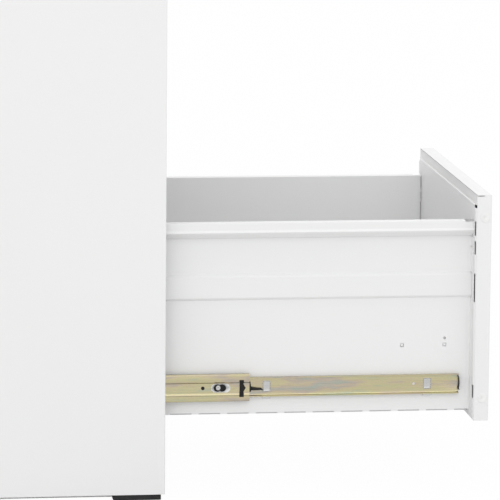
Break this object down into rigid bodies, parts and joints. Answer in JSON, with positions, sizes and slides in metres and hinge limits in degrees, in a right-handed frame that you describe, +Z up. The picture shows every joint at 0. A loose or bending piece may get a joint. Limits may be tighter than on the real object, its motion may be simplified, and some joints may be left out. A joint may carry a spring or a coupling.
{
  "type": "filing cabinet",
  "caption": "Tall white steel filing cabinet with hanging-file drawers on full-extension ball slides, the lowest drawer drawn out, recessed pulls and a bar lock.",
  "frame": {"origin": "on the floor, at the centre of the box round the cabinet with its lower drawer drawn out", "axes": "+Z up, +X across the cabinet to the right seen from the front, drawers open towards -Y"},
  "size_m": [0.46, 1.048, 1.025],
  "materials": {
    "case_paint": "powder-coated white, fine satin texture",
    "drawer_paint": "powder-coated white, satin",
    "pull_paint": "powder-coated white, satin",
    "slide_zinc": "yellow-passivated zinc, iridescent",
    "cage_steel": "bright steel",
    "black_plastic": "matt black",
    "white_plastic": "white, satin",
    "foot_plastic": "matt black",
    "lock_metal": "bright nickel"
  },
  "bodies": {
    "cabinet": {"side_panel_right": "case_paint", "side_panel_left": "case_paint", "back_panel": "case_paint", "top_panel": "case_paint", "base_panel": "case_paint", "front_plinth": "case_paint", "front_post_right": "case_paint", "front_post_left": "case_paint", "rear_posts": "case_paint", "slide_brackets": "case_paint", "feet": "foot_plastic", "lock_barrel": "lock_metal", "lower_slide_outers": "slide_zinc", "centre_slide_outers": "slide_zinc", "upper_slide_outers": "slide_zinc"},
    "lock_plug": {"lock_plug": "lock_metal", "lock_cam": "lock_metal"},
    "lock_bar": {"lock_bar": "slide_zinc"},
    "lower_intermediates": {"lower_slide_intermediates": "slide_zinc", "lower_slide_stops": "black_plastic"},
    "lower_drawer": {"lower_side_right": "drawer_paint", "lower_side_left": "drawer_paint", "lower_floor": "drawer_paint", "lower_front_skin": "drawer_paint", "lower_front_liner": "drawer_paint", "lower_front_plugs": "white_plastic", "lower_pull_cup": "pull_paint", "lower_slide_inners": "slide_zinc"},
    "lower_outer_cages": {"lower_outer_cages": "cage_steel"},
    "lower_inner_cages": {"lower_inner_cages": "cage_steel"},
    "lower_lever_right": {"lower_lever_right": "black_plastic"},
    "lower_lever_left": {"lower_lever_left": "black_plastic"},
    "centre_intermediates": {"centre_slide_intermediates": "slide_zinc", "centre_slide_stops": "black_plastic"},
    "centre_drawer": {"centre_side_right": "drawer_paint", "centre_side_left": "drawer_paint", "centre_floor": "drawer_paint", "centre_front_skin": "drawer_paint", "centre_front_liner": "drawer_paint", "centre_front_plugs": "white_plastic", "centre_pull_cup": "pull_paint", "centre_slide_inners": "slide_zinc"},
    "centre_outer_cages": {"centre_outer_cages": "cage_steel"},
    "centre_inner_cages": {"centre_inner_cages": "cage_steel"},
    "centre_lever_right": {"centre_lever_right": "black_plastic"},
    "centre_lever_left": {"centre_lever_left": "black_plastic"},
    "upper_intermediates": {"upper_slide_intermediates": "slide_zinc", "upper_slide_stops": "black_plastic"},
    "upper_drawer": {"upper_side_right": "drawer_paint", "upper_side_left": "drawer_paint", "upper_floor": "drawer_paint", "upper_front_skin": "drawer_paint", "upper_front_liner": "drawer_paint", "upper_front_plugs": "white_plastic", "upper_pull_cup": "pull_paint", "upper_slide_inners": "slide_zinc"},
    "upper_outer_cages": {"upper_outer_cages": "cage_steel"},
    "upper_inner_cages": {"upper_inner_cages": "cage_steel"},
    "upper_lever_right": {"upper_lever_right": "black_plastic"},
    "upper_lever_left": {"upper_lever_left": "black_plastic"}
  },
  "joints": [
    {"name": "lower_intermediates_slide", "type": "slide", "parent": "cabinet", "child": "lower_intermediates", "axis": [0, -1, 0], "range_m": [-0.15, 0.122]},
    {"name": "lower_drawer_slide", "type": "slide", "parent": "lower_intermediates", "child": "lower_drawer", "axis": [0, -1, 0], "range_m": [-0.278, 0]},
    {"name": "lower_outer_cages_slide", "type": "slide", "parent": "cabinet", "child": "lower_outer_cages", "axis": [0, -1, 0], "range_m": [-0.076, 0.062]},
    {"name": "lower_inner_cages_slide", "type": "slide", "parent": "lower_intermediates", "child": "lower_inner_cages", "axis": [0, -1, 0], "range_m": [-0.14, 0.001]},
    {"name": "lower_lever_right_pivot", "type": "hinge", "parent": "lower_drawer", "child": "lower_lever_right", "pos_m": [0.1992, -0.2, 0.143], "axis": [1, 0, 0], "range_deg": [-6, 6], "stiffness_Nm_per_rad": 0.05},
    {"name": "lower_lever_left_pivot", "type": "hinge", "parent": "lower_drawer", "child": "lower_lever_left", "pos_m": [-0.1992, -0.2, 0.143], "axis": [1, 0, 0], "range_deg": [-6, 6], "stiffness_Nm_per_rad": 0.05},
    {"name": "centre_intermediates_slide", "type": "slide", "parent": "cabinet", "child": "centre_intermediates", "axis": [0, -1, 0], "range_m": [0, 0.272]},
    {"name": "centre_drawer_slide", "type": "slide", "parent": "centre_intermediates", "child": "centre_drawer", "axis": [0, -1, 0], "range_m": [0, 0.278]},
    {"name": "centre_outer_cages_slide", "type": "slide", "parent": "cabinet", "child": "centre_outer_cages", "axis": [0, -1, 0], "range_m": [-0.001, 0.137]},
    {"name": "centre_inner_cages_slide", "type": "slide", "parent": "centre_intermediates", "child": "centre_inner_cages", "axis": [0, -1, 0], "range_m": [-0.001, 0.14]},
    {"name": "centre_lever_right_pivot", "type": "hinge", "parent": "centre_drawer", "child": "centre_lever_right", "pos_m": [0.1992, 0.228, 0.446], "axis": [1, 0, 0], "range_deg": [-6, 6], "stiffness_Nm_per_rad": 0.05},
    {"name": "centre_lever_left_pivot", "type": "hinge", "parent": "centre_drawer", "child": "centre_lever_left", "pos_m": [-0.1992, 0.228, 0.446], "axis": [1, 0, 0], "range_deg": [-6, 6], "stiffness_Nm_per_rad": 0.05},
    {"name": "upper_intermediates_slide", "type": "slide", "parent": "cabinet", "child": "upper_intermediates", "axis": [0, -1, 0], "range_m": [0, 0.272]},
    {"name": "upper_drawer_slide", "type": "slide", "parent": "upper_intermediates", "child": "upper_drawer", "axis": [0, -1, 0], "range_m": [0, 0.278]},
    {"name": "upper_outer_cages_slide", "type": "slide", "parent": "cabinet", "child": "upper_outer_cages", "axis": [0, -1, 0], "range_m": [-0.001, 0.137]},
    {"name": "upper_inner_cages_slide", "type": "slide", "parent": "upper_intermediates", "child": "upper_inner_cages", "axis": [0, -1, 0], "range_m": [-0.001, 0.14]},
    {"name": "upper_lever_right_pivot", "type": "hinge", "parent": "upper_drawer", "child": "upper_lever_right", "pos_m": [0.1992, 0.228, 0.749], "axis": [1, 0, 0], "range_deg": [-6, 6], "stiffness_Nm_per_rad": 0.05},
    {"name": "upper_lever_left_pivot", "type": "hinge", "parent": "upper_drawer", "child": "upper_lever_left", "pos_m": [-0.1992, 0.228, 0.749], "axis": [1, 0, 0], "range_deg": [-6, 6], "stiffness_Nm_per_rad": 0.05},
    {"name": "lock_bar_drop", "type": "slide", "parent": "cabinet", "child": "lock_bar", "axis": [0, 0, -1], "range_m": [0, 0.014]},
    {"name": "lock_turn", "type": "hinge", "parent": "cabinet", "child": "lock_plug", "pos_m": [0.19, -0.096, 1.015], "axis": [0, 1, 0], "range_deg": [0, 90]}
  ],
  "couplings": [
    {"joint": "lower_outer_cages_slide", "follows": "lower_intermediates_slide", "ratio": 0.5},
    {"joint": "lower_inner_cages_slide", "follows": "lower_drawer_slide", "ratio": 0.5},
    {"joint": "centre_outer_cages_slide", "follows": "centre_intermediates_slide", "ratio": 0.5},
    {"joint": "centre_inner_cages_slide", "follows": "centre_drawer_slide", "ratio": 0.5},
    {"joint": "upper_outer_cages_slide", "follows": "upper_intermediates_slide", "ratio": 0.5},
    {"joint": "upper_inner_cages_slide", "follows": "upper_drawer_slide", "ratio": 0.5},
    {"joint": "lock_turn", "follows": "lock_bar_drop", "rad_per_m": 112.19}
  ]
}
